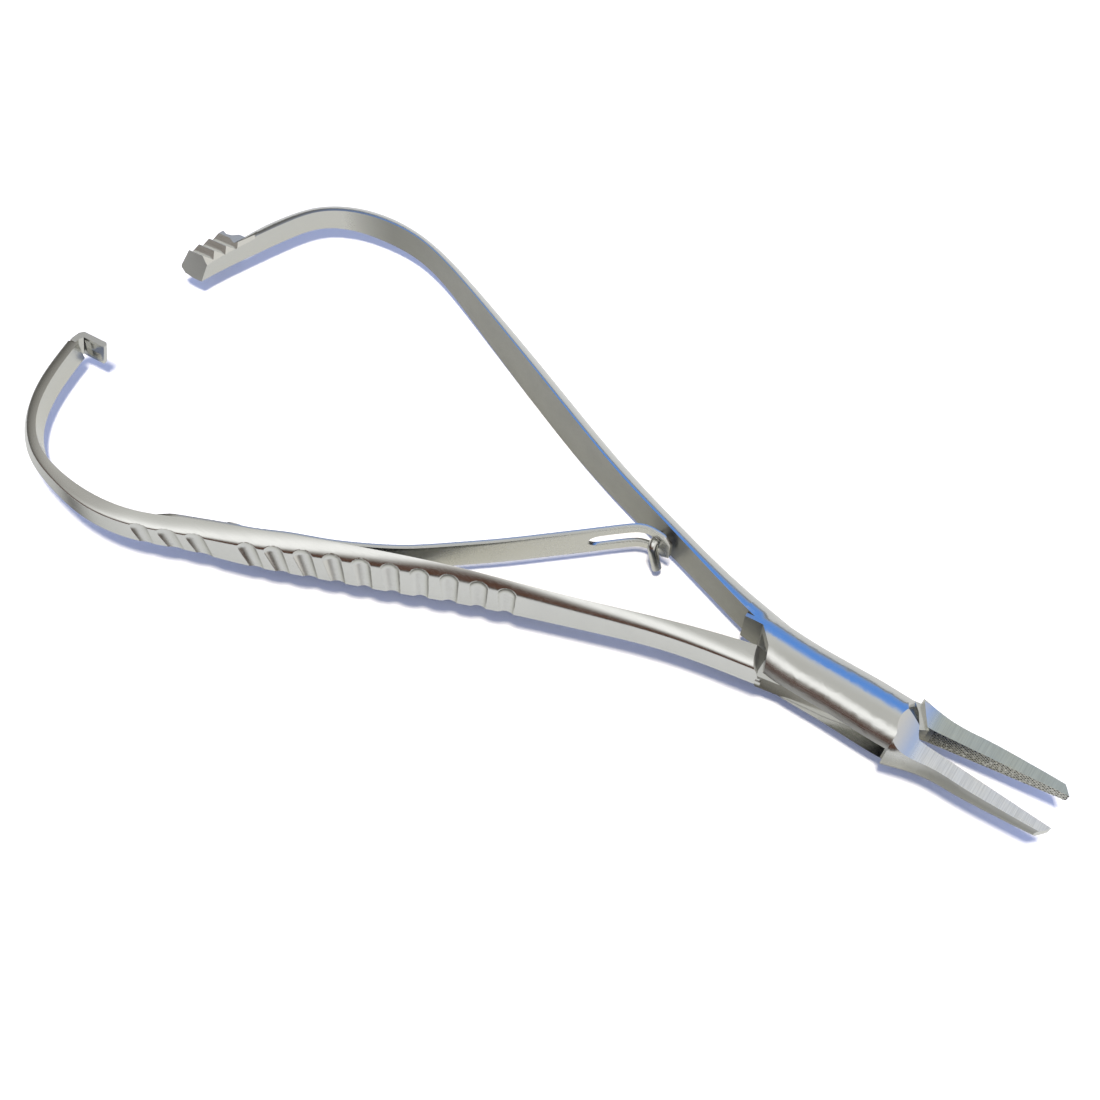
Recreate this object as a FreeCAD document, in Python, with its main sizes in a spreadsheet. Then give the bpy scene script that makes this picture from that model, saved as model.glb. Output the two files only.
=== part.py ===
import FreeCAD
import Part
import math
import os

# Surgical needle holder, plier pattern with box lock, leaf spring and tail ratchet.
# Lengths in mm. X runs from the tails to the jaws, Y across the handles, Z up from the table.
# The origin is where the pivot axis meets the table. The part stands open, as it rests.

doc = FreeCAD.newDocument("NeedleHolder")
sheet = doc.addObject("Spreadsheet::Sheet", "Sizes")

# name, value
SIZES = [
    ("mid_height", 4.65),
    ("tail_face", 3.7),
    ("neck_face", 3.8),
    ("grip_face", 9.5),
    ("throat_face", 6.6),
    ("root_face", 6.3),
    ("tail_depth", 2.5),
    ("bow_depth", 2.05),
    ("heel_depth", 3.65),
    ("grip_depth", 3.0),
    ("throat_depth", 2.65),
    ("root_depth", 3.85),
    ("box_half_width", 4.15),
    ("box_half_height", 4.0),
    ("box_centre_y", 0.15),
    ("box_front", 13.9),
    ("box_back", -14.0),
    ("tongue_thickness", 3.3),
    ("tongue_clearance", 0.06),
    ("window_front", 9.3),
    ("window_back", -7.5),
    ("pin_diameter", 3.4),
    ("pin_clearance", 0.03),
    ("pin_press", 0.01),
    ("jaw_offset", -0.2),
    ("jaw_fixed_angle", -1.5),
    ("jaw_open_angle", 7.2),
    ("jaw_tip", 31.2),
    ("jaw_root_half", 1.95),
    ("jaw_tip_half", 0.85),
    ("facet_start", 14.6),
    ("facet_runout", 9.0),
    ("grip_relief", 0.1),
    ("flute_radius", 0.95),
    ("flute_depth", 0.42),
    ("flute_lean_rear", 0.34),
    ("flute_lean_middle", 0.24),
    ("flute_lean_front", 0.1),
    ("block_length", 6.7),
    ("block_depth", 3.15),
    ("tooth_pitch", 1.72),
    ("tooth_drop", 0.8),
    ("pawl_leg", 5.0),
    ("pawl_thickness", 0.85),
    ("pawl_recess", 0.45),
    ("leaf_thickness", 0.9),
    ("leaf_height", 5.7),
    ("leaf_tip_height", 5.2),
    ("leaf_seat_gap", 0.04),
    ("slot_height", 2.6),
    ("rivet_diameter", 2.4),
    ("rivet_press", 0.01),
    ("hook_diameter", 1.35),
    ("hook_press", 0.01),
]
for row, (alias, value) in enumerate(SIZES, 1):
    sheet.set("A%d" % row, alias)
    sheet.set("B%d" % row, str(value))
    sheet.setAlias("B%d" % row, alias)
doc.recompute()
val = {alias: float(sheet.get(alias)) for alias, _ in SIZES}

# Height of the flat inner face along X, and depth of the roof-shaped outer side of each half.
FACE_AT = [
    (-113.0, val["tail_face"]), (-104.0, val["tail_face"]), (-101.0, val["neck_face"]),
    (-97.0, val["neck_face"] + 0.5), (-90.0, 0.56 * val["grip_face"]),
    (-82.0, 0.62 * val["grip_face"]), (-74.0, 0.79 * val["grip_face"]),
    (-67.0, 0.91 * val["grip_face"]), (-57.0, val["grip_face"]), (-50.0, val["grip_face"]),
    (-43.0, 0.92 * val["grip_face"]), (-36.0, 0.80 * val["grip_face"]),
    (-28.0, 1.04 * val["throat_face"]), (-20.0, val["root_face"]), (0.0, val["root_face"]),
]
PAWL_DEPTH = [
    (-114.0, val["tail_depth"]), (-112.8, 0.98 * val["tail_depth"]),
    (-111.0, 1.07 * val["bow_depth"]), (-108.5, 0.98 * val["bow_depth"]),
    (-105.0, val["bow_depth"]), (-101.0, 1.12 * val["bow_depth"]),
    (-97.0, 1.34 * val["bow_depth"]), (-93.0, 0.80 * val["heel_depth"]),
    (-85.0, 0.85 * val["heel_depth"]), (-78.0, 0.95 * val["heel_depth"]),
    (-74.0, val["heel_depth"]), (-63.0, 0.99 * val["heel_depth"]),
    (-59.0, 1.17 * val["grip_depth"]), (-52.0, 1.05 * val["grip_depth"]),
    (-44.5, 0.95 * val["grip_depth"]), (-37.0, val["throat_depth"]),
    (-29.0, val["throat_depth"]), (-22.0, 1.09 * val["throat_depth"]),
    (-18.0, 0.83 * val["root_depth"]), (-10.4, val["root_depth"]),
    (0.0, 1.05 * val["root_depth"]),
]
RATCHET_DEPTH = [
    (-109.0, 0.80 * val["tail_depth"]), (-106.6, 0.76 * val["tail_depth"]),
    (-105.0, 0.96 * val["tail_depth"]), (-104.0, 1.02 * val["tail_depth"]),
    (-100.0, 0.94 * val["tail_depth"]), (-93.0, val["tail_depth"]),
    (-89.0, 0.93 * val["tail_depth"]), (-85.0, 0.57 * val["heel_depth"]),
    (-80.0, 0.56 * val["heel_depth"]), (-73.5, 0.63 * val["heel_depth"]),
    (-66.0, 0.71 * val["heel_depth"]), (-58.8, 0.95 * val["grip_depth"]),
    (-51.0, 0.97 * val["grip_depth"]), (-40.0, 0.96 * val["grip_depth"]),
    (-32.5, val["throat_depth"]), (-25.0, 1.02 * val["throat_depth"]),
    (-21.0, 1.09 * val["throat_depth"]), (-17.0, 0.80 * val["root_depth"]),
    (-13.3, 0.94 * val["root_depth"]), (-9.5, 0.97 * val["root_depth"]),
    (-5.5, 0.91 * val["root_depth"]), (0.0, 0.85 * val["root_depth"]),
]
# Inner face line of each handle, tail first.
RATCHET_LINE = [
    (-109.1, 5.6), (-107.9, 8.9), (-106.5, 12.2), (-105.1, 15.3), (-103.2, 19.3), (-100.6, 23.3),
    (-96.7, 25.85), (-91.5, 27.2), (-85.2, 27.35), (-78.8, 25.75), (-72.0, 23.1),
    (-63.5, 19.55), (-54.6, 15.85), (-45.8, 12.35), (-37.0, 9.3), (-29.0, 6.95), (-21.0, 4.5),
    (-15.0, 2.7), (-9.5, 1.35), (-5.0, 0.7),
]
PAWL_LINE = [
    (-114.2, -14.2), (-113.7, -18.0), (-112.7, -22.3), (-110.6, -26.6), (-107.2, -29.6),
    (-102.2, -31.1), (-95.8, -31.45), (-89.4, -30.4), (-82.5, -27.5), (-74.5, -24.35),
    (-66.0, -20.9), (-57.0, -17.4), (-48.0, -13.95), (-39.0, -10.75), (-30.3, -7.6),
    (-21.8, -4.5), (-15.0, -2.35), (-9.5, -0.9), (-4.5, 0.2),
]
# Flute positions along X in three groups of like slope; one is left out for the spring rivet.
# Each group: where it starts up the side (share of depth, share of half face), its lean, positions.
FLUTE_GROUPS = [
    (0.34, 0.78, val["flute_lean_rear"], [-87.8, -84.4, -80.7]),
    (0.49, 0.66, val["flute_lean_middle"], [-73.6, -70.2, -66.6, -63.0]),
    (0.52, 0.64, val["flute_lean_front"], [-59.4, -55.8, -52.3, -48.6, -44.9, -41.4]),
]
# Outer side of each half: share of the depth at each share of the half face. The pawl half has
# nearly flat ground sides, the ratchet half is rounder.
PAWL_PROFILE = [(0.0, 1.0), (0.14, 0.945), (0.56, 0.60), (1.0, 0.0)]
RATCHET_PROFILE = [(0.0, 1.0), (0.34, 0.90), (0.72, 0.52), (0.92, 0.0)]

mid = val["mid_height"]


def between(table, x):
    if x <= table[0][0]:
        return table[0][1]
    for (x0, v0), (x1, v1) in zip(table, table[1:]):
        if x <= x1:
            return v0 + (v1 - v0) * (x - x0) / (x1 - x0)
    return table[-1][1]


def line_curve(points):
    curve = Part.BSplineCurve()
    curve.interpolate([FreeCAD.Vector(x, y, mid) for x, y in points])
    return curve


def through(points):
    curve = Part.BSplineCurve()
    curve.interpolate(points)
    return curve


def frame_at(curve, u, side):
    # Place whose x axis leaves the inner face and whose y axis is up.
    point = curve.value(u)
    along = curve.tangent(u)[0]
    out = FreeCAD.Vector(-along.y * side, along.x * side, 0)
    out.normalize()
    up = FreeCAD.Vector(0, 0, 1)
    turn = FreeCAD.Rotation(out, up, out.cross(up), "ZXY")
    return FreeCAD.Placement(point, turn)


def sketch_on(body, name, place):
    sketch = body.newObject("Sketcher::SketchObject", name)
    plane = [f for f in body.Origin.OriginFeatures if f.Role == "XY_Plane"][0]
    sketch.AttachmentSupport = (plane, [""])
    sketch.MapMode = "FlatFace"
    sketch.AttachmentOffset = place
    return sketch


def roof_section(body, name, place, half, depth, profile):
    # Flat inner face with a domed outer side.
    sketch = sketch_on(body, name, place)
    upper = [FreeCAD.Vector(a * depth, b * half, 0) for a, b in profile]
    lower = [FreeCAD.Vector(v.x, -v.y, 0) for v in upper[-2::-1]]
    sketch.addGeometry(through(upper + lower), False)
    sketch.addGeometry(Part.LineSegment(lower[-1], upper[0]), False)
    return sketch


def polygon(sketch, points):
    vectors = [FreeCAD.Vector(x, y, 0) for x, y in points]
    for a, b in zip(vectors, vectors[1:] + vectors[:1]):
        sketch.addGeometry(Part.LineSegment(a, b), False)
    return sketch


def loft(body, name, sections):
    feature = body.newObject("PartDesign::AdditiveLoft", name)
    feature.Profile = sections[0]
    feature.Sections = sections[1:]
    feature.Ruled = False
    doc.recompute()
    print(name, feature.State, "null" if feature.Shape.isNull() else round(feature.Shape.Volume, 1))
    return feature


def pocket(body, name, sketch, length=None):
    # Cut through all both ways, or a symmetric length about the sketch.
    before = body.Tip.Shape.Volume
    feature = body.newObject("PartDesign::Pocket", name)
    feature.Profile = sketch
    if length is None:
        feature.Type = 1
        feature.SideType = "Symmetric"
    else:
        feature.Type = 0
        feature.Length = length
        feature.SideType = "Symmetric"
    doc.recompute()
    print(name, "removed", round(before - feature.Shape.Volume, 2))
    return feature


def handle(body, name, points, depths, side, profile):
    curve = line_curve(points)
    sections = []
    for number, (x, y) in enumerate(points):
        u = curve.parameter(FreeCAD.Vector(x, y, mid))
        place = frame_at(curve, u, side)
        half = between(FACE_AT, x) / 2
        depth = between(depths, x)
        sections.append(roof_section(
            body, "%sSection%02d" % (name, number + 1), place, half, depth, profile))
    return loft(body, name + "Loft", sections)


def cross_place(x):
    # Plane across the instrument at x: local x is Y, local y is Z.
    turn = FreeCAD.Rotation(
        FreeCAD.Vector(0, 1, 0), FreeCAD.Vector(0, 0, 1), FreeCAD.Vector(1, 0, 0), "ZXY")
    return FreeCAD.Placement(FreeCAD.Vector(x, 0, mid), turn)


def oval_section(body, name, x, centre, half_width, half_height):
    sketch = sketch_on(body, name, cross_place(x))
    points = []
    for k in range(13):
        a = math.pi * k / 12
        points.append(FreeCAD.Vector(
            centre + half_width * math.cos(a), half_height * math.sin(a), 0))
    sketch.addGeometry(through(points), False)
    sketch.addGeometry(through([FreeCAD.Vector(v.x, -v.y, 0) for v in points]), False)
    return sketch


def jaw_section(body, name, x, face_y, half, depth, side):
    # Flat gripping face, set back from face_y by the height of its cross-cut; convex outer side.
    sketch = sketch_on(body, name, cross_place(x))
    points = []
    for k in range(13):
        a = math.pi * k / 12
        bulge = math.sin(a) ** 0.8
        reach = val["grip_relief"] + (depth - val["grip_relief"]) * bulge
        points.append(FreeCAD.Vector(face_y + side * reach, half * math.cos(a), 0))
    sketch.addGeometry(through(points), False)
    sketch.addGeometry(Part.LineSegment(points[-1], points[0]), False)
    return sketch


def grip_y(x, degrees):
    return val["jaw_offset"] + math.tan(math.radians(degrees)) * x


# Jaw stations: x, half height of the blank, depth of the blank.
JAW_AT = [(9.6, 4.0, 4.3), (12.0, 3.7, 3.5), (15.0, 3.2, 2.75), (19.0, 2.75, 2.55),
          (24.0, 2.2, 2.2), (28.5, 1.75, 1.75)]


def jaw(body, name, degrees, side):
    stations = list(JAW_AT) + [(val["jaw_tip"], 1.5, 1.35)]
    sections = []
    for number, (x, half, depth) in enumerate(stations):
        sections.append(jaw_section(
            body, "%sSection%d" % (name, number + 1), x, grip_y(x, degrees), half, depth, side))
    return loft(body, name + "Loft", sections)


def facets(body, name):
    # Ground flats above and below the jaws, with a hollow run-out towards the box.
    x0 = val["facet_start"]
    x1 = val["jaw_tip"] + 3
    h0 = val["jaw_root_half"]
    h1 = val["jaw_tip_half"] - 0.07 * 3
    radius = val["facet_runout"]
    lift = 5.0
    run = math.sqrt(max(radius ** 2 - (radius - lift) ** 2, 0.1))
    half_run = math.sqrt(radius ** 2 - (radius - 1.2) ** 2)
    turn = FreeCAD.Rotation(
        FreeCAD.Vector(1, 0, 0), FreeCAD.Vector(0, 0, 1), FreeCAD.Vector(0, -1, 0), "ZXY")
    place = FreeCAD.Placement(FreeCAD.Vector(0, 0, mid), turn)
    for word, sign in (("Upper", 1), ("Lower", -1)):
        sketch = sketch_on(body, name + word + "Facet", place)
        start = FreeCAD.Vector(x0, sign * h0, 0)
        middle = FreeCAD.Vector(x0 - half_run, sign * (h0 + 1.2), 0)
        end = FreeCAD.Vector(x0 - run, sign * (h0 + lift), 0)
        far = FreeCAD.Vector(x1, sign * (h0 + lift), 0)
        tip = FreeCAD.Vector(x1, sign * h1, 0)
        sketch.addGeometry(Part.Arc(start, middle, end), False)
        sketch.addGeometry(Part.LineSegment(end, far), False)
        sketch.addGeometry(Part.LineSegment(far, tip), False)
        sketch.addGeometry(Part.LineSegment(tip, start), False)
        pocket(body, name + word + "Grind", sketch, 40)


def plan_place(z=None):
    return FreeCAD.Placement(
        FreeCAD.Vector(0, 0, mid if z is None else z), FreeCAD.Rotation())


def tip_round(body, name, degrees, side):
    # Rounds the jaw end in plan, leaving the gripping corner.
    x = val["jaw_tip"]
    y = grip_y(x, degrees)
    sketch = sketch_on(body, name + "TipRound", plan_place())
    a = FreeCAD.Vector(x - 3.3, y + side * 2.6, 0)
    b = FreeCAD.Vector(x - 1.25, y + side * 1.1, 0)
    c = FreeCAD.Vector(x - 0.1, y - side * 0.3, 0)
    d = FreeCAD.Vector(x + 4, y - side * 0.3, 0)
    e = FreeCAD.Vector(x + 4, y + side * 5, 0)
    f = FreeCAD.Vector(x - 3.3, y + side * 5, 0)
    sketch.addGeometry(Part.Arc(a, b, c), False)
    sketch.addGeometry(Part.LineSegment(c, d), False)
    sketch.addGeometry(Part.LineSegment(d, e), False)
    sketch.addGeometry(Part.LineSegment(e, f), False)
    sketch.addGeometry(Part.LineSegment(f, a), False)
    pocket(body, name + "TipCut", sketch)


def station(curve, x):
    # Parameter where the face line passes x.
    low, high = curve.FirstParameter, curve.LastParameter
    for _ in range(40):
        middle = (low + high) / 2
        if curve.value(middle).x < x:
            low = middle
        else:
            high = middle
    return low


def plane_cut(body, name, a, b, c, size):
    # Removes what lies beyond the plane through three points, on the side its normal faces.
    along = (b - a).normalize()
    normal = (b - a).cross(c - a).normalize()
    turn = FreeCAD.Rotation(normal, along.cross(normal), along, "ZXY")
    sketch = sketch_on(body, name + "Outline", FreeCAD.Placement((a + b) * 0.5, turn))
    polygon(sketch, [(0, -size), (size, -size), (size, size), (0, size)])
    return pocket(body, name, sketch, 2 * size)


def flutes(body, points, depths, side):
    # Ball-ended grooves that run down the sloping outer side and meet at its ridge.
    curve = line_curve(points)
    radius = val["flute_radius"]
    proud = radius - val["flute_depth"]
    count = 0
    for share_out, share_up, slant, places in FLUTE_GROUPS:
        for x in places:
            count += 1
            spot = frame_at(curve, station(curve, x), side)
            depth = between(depths, x)
            half = between(FACE_AT, x) / 2
            lean = math.atan2(depth * (1 - share_out), half * share_up)
            out = spot.Rotation.multVec(FreeCAD.Vector(1, 0, 0))
            run = FreeCAD.Vector(abs(out.y), -out.x if out.y > 0 else out.x, 0)
            for word, sign in (("Upper", 1), ("Lower", -1)):
                down = out * math.sin(lean) - FreeCAD.Vector(0, 0, sign * math.cos(lean)) + run * slant
                down.normalize()
                centre = spot.multVec(FreeCAD.Vector(
                    share_out * depth + proud * math.cos(lean),
                    sign * (share_up * half + proud * math.sin(lean)), 0)) + down * (0.95 * radius)
                side_way = (run - down * run.dot(down)).normalize()
                turn = FreeCAD.Rotation(side_way, down, side_way.cross(down), "ZXY")
                sketch = sketch_on(
                    body, "Flute%s%d" % (word, count), FreeCAD.Placement(centre, turn))
                top = FreeCAD.Vector(0, -radius, 0)
                corner = FreeCAD.Vector(radius, 0, 0)
                bulge = FreeCAD.Vector(radius * math.sqrt(0.5), -radius * math.sqrt(0.5), 0)
                sketch.addGeometry(Part.Arc(top, bulge, corner), False)
                sketch.addGeometry(Part.LineSegment(corner, FreeCAD.Vector(radius, 9, 0)), False)
                sketch.addGeometry(Part.LineSegment(
                    FreeCAD.Vector(radius, 9, 0), FreeCAD.Vector(0, 9, 0)), False)
                sketch.addGeometry(Part.LineSegment(FreeCAD.Vector(0, 9, 0), top), False)
                groove = body.newObject("PartDesign::Groove", "Flute%sCut%d" % (word, count))
                groove.Profile = sketch
                groove.ReferenceAxis = (sketch, ["V_Axis"])
                groove.Angle = 360
    before = body.Shape.Volume if not body.Shape.isNull() else 0
    doc.recompute()
    print("flutes", count, "volume", round(before, 1), "to", round(body.Tip.Shape.Volume, 1))


def bore(body, name, diameter):
    sketch = sketch_on(body, name + "BoreCircle", plan_place())
    sketch.addGeometry(Part.Circle(
        FreeCAD.Vector(0, 0, 0), FreeCAD.Vector(0, 0, 1), diameter / 2), False)
    pocket(body, name + "Bore", sketch)


def land(body, name):
    # Trims the widest part of the handle to a narrow flat land on the table plane.
    sketch = sketch_on(body, name + "Land", plan_place(-1.0))
    polygon(sketch, [(-120, -60), (40, -60), (40, 60), (-120, 60)])
    pocket(body, name + "LandCut", sketch, 2.0)


print("ratchet half")
ratchet = doc.addObject("PartDesign::Body", "RatchetHalf")
ratchet.Label = "ratchet_half"
handle(ratchet, "Ratchet", RATCHET_LINE, RATCHET_DEPTH, 1, RATCHET_PROFILE)

box_rows = [
    (val["box_back"], 0.75, 3.0), (-10.5, 0.95, 0.93 * val["box_half_height"]),
    (-6.0, 1.0, val["box_half_height"]), (0.0, 1.0, val["box_half_height"]),
    (5.0, 1.03, val["box_half_height"]), (9.7, 1.03, 0.98 * val["box_half_height"]),
    (val["box_front"], 0.9, 0.86 * val["box_half_height"]),
]
box_sections = []
for number, (x, share, height) in enumerate(box_rows):
    centre = val["box_centre_y"] + (1.2 if x < -13 else (0.5 if x < -9 else 0.0))
    box_sections.append(oval_section(
        ratchet, "BoxSection%d" % (number + 1), x, centre, share * val["box_half_width"], height))
loft(ratchet, "BoxLoft", box_sections)
jaw(ratchet, "LowerJaw", val["jaw_fixed_angle"], -1)

# Back and front edges of the box plates, and the space in front of the gripping face.
outline = sketch_on(ratchet, "BoxEnds", plan_place())
polygon(outline, [(-11.4, 1.55), (-9.4, -0.6), (-8.3, -3.2), (-7.9, -9.0), (-20, -9.0), (-20, 1.55)])
pocket(ratchet, "BackEdge", outline)
outline = sketch_on(ratchet, "FrontEdge", plan_place())
front_y = grip_y(12.2, val["jaw_fixed_angle"]) - val["grip_relief"]
tip_y = grip_y(40.0, val["jaw_fixed_angle"]) - val["grip_relief"]
polygon(outline, [(9.6, 9.0), (9.75, 4.6), (11.9, -0.05), (12.3, front_y), (40, tip_y), (40, 9.0)])
pocket(ratchet, "FrontGap", outline)

# Channel for the tongue between the two plates.
channel = sketch_on(ratchet, "Channel", plan_place())
polygon(channel, [
    (-15.0, 0.75), (val["window_back"], 1.7), (val["window_back"], 9.0), (16, 9.0),
    (16, grip_y(16, val["jaw_fixed_angle"])), (12.9, grip_y(12.9, val["jaw_fixed_angle"])),
    (val["window_front"], -2.2), (val["window_front"], -9.0), (-15.0, -9.0)])
pocket(ratchet, "ChannelCut", channel, val["tongue_thickness"] + 2 * val["tongue_clearance"])

# Ground bevel along the far front edge of the top plate, and the chamfer of its front end.
plane_cut(ratchet, "PlateBevel", FreeCAD.Vector(9.9, 2.6, mid + 3.3), FreeCAD.Vector(9.9, 4.6, mid + 0.85),
          FreeCAD.Vector(1.8, 3.46, mid + 2.46), 9)
plane_cut(ratchet, "PlateChamfer", FreeCAD.Vector(9.25, 4.35, mid + 1.55),
          FreeCAD.Vector(11.22, -0.36, mid + 3.8), FreeCAD.Vector(11.9, -0.05, mid + 3.0), 3.2)
facets(ratchet, "LowerJaw")
tip_round(ratchet, "LowerJaw", val["jaw_fixed_angle"], -1)
bore(ratchet, "Ratchet", val["pin_diameter"] - val["pin_press"])

# Ratchet block: thickened tail end with ramps that rise away from the tip.
curve = line_curve(RATCHET_LINE)
tip_place = frame_at(curve, curve.FirstParameter, 1)
out = tip_place.Rotation.multVec(FreeCAD.Vector(1, 0, 0))
along = curve.tangent(curve.FirstParameter)[0]


def block_point(o, s):
    p = tip_place.Base + out * o + along * s
    return (p.x, p.y)


up = FreeCAD.Vector(0, 0, 1)
crest = val["tail_face"] / 2


def block_vector(o, s, h):
    return tip_place.Base + out * o + along * s + up * h


depth = val["block_depth"]
length = val["block_length"]
block_turn = FreeCAD.Rotation(out, up, along, "ZXY")
block = sketch_on(ratchet, "BlockOutline", FreeCAD.Placement(block_vector(0, -2.0, 0), block_turn))
polygon(block, [
    (0.0, -crest), (0.4 * depth, -crest), (0.85 * depth, -0.86 * crest),
    (1.1 * depth, -0.52 * crest), (1.13 * depth, -0.35 * crest), (depth, crest), (0.0, crest)])
pad = ratchet.newObject("PartDesign::Pad", "BlockPad")
pad.Profile = block
pad.Length = length + 2.0
doc.recompute()
fillet = sketch_on(ratchet, "BlockBack", plan_place())
polygon(fillet, [
    block_point(0.4, length - 0.6), block_point(depth - 0.1, length - 0.6),
    block_point(0.8 * depth, length + 0.1), block_point(0.58 * depth, length + 0.6),
    block_point(0.4 * depth, length + 1.5), block_point(0.2, length + 2.0)])
pad = ratchet.newObject("PartDesign::Pad", "BlockBackPad")
pad.Profile = fillet
pad.Length = 1.7 * crest
pad.SideType = "Symmetric"
doc.recompute()
# Ramps rise away from the tip; their lines run askew to the inner face.
plane_cut(ratchet, "EndRamp", block_vector(0.365 * depth, 1.7, crest),
          block_vector(depth, 0.77, crest), block_vector(0.39 * depth, -0.5, -crest), 9)
lines = (out * -2.0 + along * 0.93).normalize()
across = up.cross(lines)
if across.dot(along) < 0:
    across = across * -1
teeth_turn = FreeCAD.Rotation(across, up, across.cross(up), "ZXY")
teeth_place = FreeCAD.Placement(block_vector(depth, 0.77, 0), teeth_turn)
teeth = sketch_on(ratchet, "Teeth", teeth_place)
step = val["tooth_pitch"] * across.dot(along)
for number in range(3):
    s = number * step
    polygon(teeth, [
        (s + 0.03, crest), (s + 0.36 * step, crest - val["tooth_drop"]),
        (s + step - 0.03, crest), (s + step - 0.03, crest + 2), (s + 0.03, crest + 2)])
pocket(ratchet, "TeethCut", teeth, 13)
plane_cut(ratchet, "InnerBevel", block_vector(0, length + 1.3, crest),
          block_vector(0.365 * depth, 1.0, crest), block_vector(0, 0, 0.3 * crest), 5.5)

# Seat of the spring hook in the inner face.
hook_x = -29.6
hook_place = frame_at(curve, station(curve, hook_x), 1)
seat_turn = hook_place.Rotation.multiply(FreeCAD.Rotation(FreeCAD.Vector(0, 1, 0), 90))
seat = sketch_on(ratchet, "HookSeat", FreeCAD.Placement(hook_place.Base, seat_turn))
seat.addGeometry(Part.Circle(
    FreeCAD.Vector(0, 0, 0), FreeCAD.Vector(0, 0, 1),
    (val["hook_diameter"] - val["hook_press"]) / 2), False)
pocket(ratchet, "HookSeatCut", seat, 2 * 1.5)
land(ratchet, "Ratchet")

print("pawl half")
pawl = doc.addObject("PartDesign::Body", "PawlHalf")
pawl.Label = "pawl_half"
handle(pawl, "Pawl", PAWL_LINE, PAWL_DEPTH, -1, PAWL_PROFILE)
jaw(pawl, "UpperJaw", val["jaw_open_angle"], 1)

# Shoulders: full thickness stops behind the box and starts again in front of it.
shoulder = sketch_on(pawl, "Shoulders", plan_place())
polygon(shoulder, [
    (-11.3, -0.2), (-11.2, -1.1), (-8.0, -4.3), (-6.6, -9.0), (9.9, 9.0), (10.35, 4.2),
    (12.45, grip_y(12.45, val["jaw_open_angle"])), (13.0, -1.5), (-9.0, 3.5)])
pocket(pawl, "ShoulderCut", shoulder)
tongue = sketch_on(pawl, "TongueOutline", plan_place())
polygon(tongue, [
    (-11.6, -1.25), (-8.6, -4.2), (-4.4, -3.45), (0.7, -2.9), (5.0, -2.1), (8.9, -0.7),
    (12.7, grip_y(12.7, val["jaw_open_angle"])), (12.6, 2.6), (10.6, 4.15), (5.0, 3.3), (0.0, 2.5),
    (-5.0, 0.75), (-11.0, -0.75)])
pad = pawl.newObject("PartDesign::Pad", "Tongue")
pad.Profile = tongue
pad.Length = val["tongue_thickness"]
pad.SideType = "Symmetric"
doc.recompute()
facets(pawl, "UpperJaw")
tip_round(pawl, "UpperJaw", val["jaw_open_angle"], 1)
flutes(pawl, PAWL_LINE, PAWL_DEPTH, -1)
bore(pawl, "Pawl", val["pin_diameter"] + 2 * val["pin_clearance"])

# Pawl: the tail end is bent back towards the jaws and hollowed on its inner side.
crest = val["tail_face"] / 2
lean = FreeCAD.Vector(-0.16, -0.20, -1.0)
leg_end = -115.6 + val["pawl_leg"]
leg = sketch_on(pawl, "LegOutline", plan_place(mid + crest))
inner = -12.0 - val["pawl_thickness"]
polygon(leg, [
    (-115.5, -13.8), (-115.3, -12.75), (-114.8, -12.15), (leg_end - 0.3, -11.8),
    (leg_end, -12.05), (leg_end - 0.05, inner + 0.2), (-114.2, inner - 0.1),
    (-114.55, -13.6), (-114.6, -14.6), (-115.5, -14.8)])
pad = pawl.newObject("PartDesign::Pad", "Leg")
pad.Profile = leg
pad.UseCustomVector = True
pad.Direction = lean
pad.AlongSketchNormal = True
pad.Length = 2 * crest
doc.recompute()
face_run = FreeCAD.Vector(leg_end + 114.15, 0.3, 0).normalize()
face_in = face_run.cross(lean).normalize()
if face_in.y < 0:
    face_in = face_in * -1
middle = FreeCAD.Vector((leg_end - 114.3) / 2, inner + 0.05, mid + crest) + lean * crest
recess = sketch_on(pawl, "LegRecess", FreeCAD.Placement(
    middle, FreeCAD.Rotation(face_run, face_in.cross(face_run), face_in, "ZXY")))
wide = (leg_end + 114.2) / 2 - 0.5
high = crest - 0.45
polygon(recess, [(-wide, -high), (wide, -high), (wide, high), (-wide, high)])
pocket(pawl, "LegHollow", recess, 2 * val["pawl_recess"])

# Rivet bore through the handle.
pawl_curve = line_curve(PAWL_LINE)
rivet_place = frame_at(pawl_curve, station(pawl_curve, -77.1), -1)
rivet_turn = rivet_place.Rotation.multiply(FreeCAD.Rotation(FreeCAD.Vector(0, 1, 0), 90))
seat = sketch_on(pawl, "RivetSeat", FreeCAD.Placement(rivet_place.Base, rivet_turn))
seat.addGeometry(Part.Circle(
    FreeCAD.Vector(0, 0, 0), FreeCAD.Vector(0, 0, 1),
    (val["rivet_diameter"] - val["rivet_press"]) / 2), False)
pocket(pawl, "RivetSeatCut", seat)
land(pawl, "Pawl")

print("leaf spring")
# Middle line of the leaf from its rear end, along the pawl half, to the hook.
LEAF_LINE = [
    (-70.2, -21.75), (-65.5, -19.75), (-60.6, -17.3), (-55.8, -14.4), (-50.8, -10.6),
    (-46.2, -6.9), (-41.0, -2.4), (-36.5, 1.6), (-33.4, 4.35),
]
LEAF_TIP = [(-32.6, 4.98), (-31.6, 5.5), (-30.4, 5.72), (-28.9, 5.7), (-27.5, 5.55)]
seat_line = []
for x in (-87.3, -84.0, -80.6, -77.1, -74.6):
    spot = frame_at(pawl_curve, station(pawl_curve, x), -1)
    seat_line.append(spot.multVec(
        FreeCAD.Vector(-val["leaf_thickness"] / 2 - val["leaf_seat_gap"], 0, 0)))
spring_curve = Part.BSplineCurve()
spring_curve.interpolate([FreeCAD.Vector(v.x, v.y, 0) for v in seat_line]
                         + [FreeCAD.Vector(x, y, 0) for x, y in LEAF_LINE])
half_leaf = val["leaf_thickness"] / 2
FINE = 26
rim_a, rim_b = [], []
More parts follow.
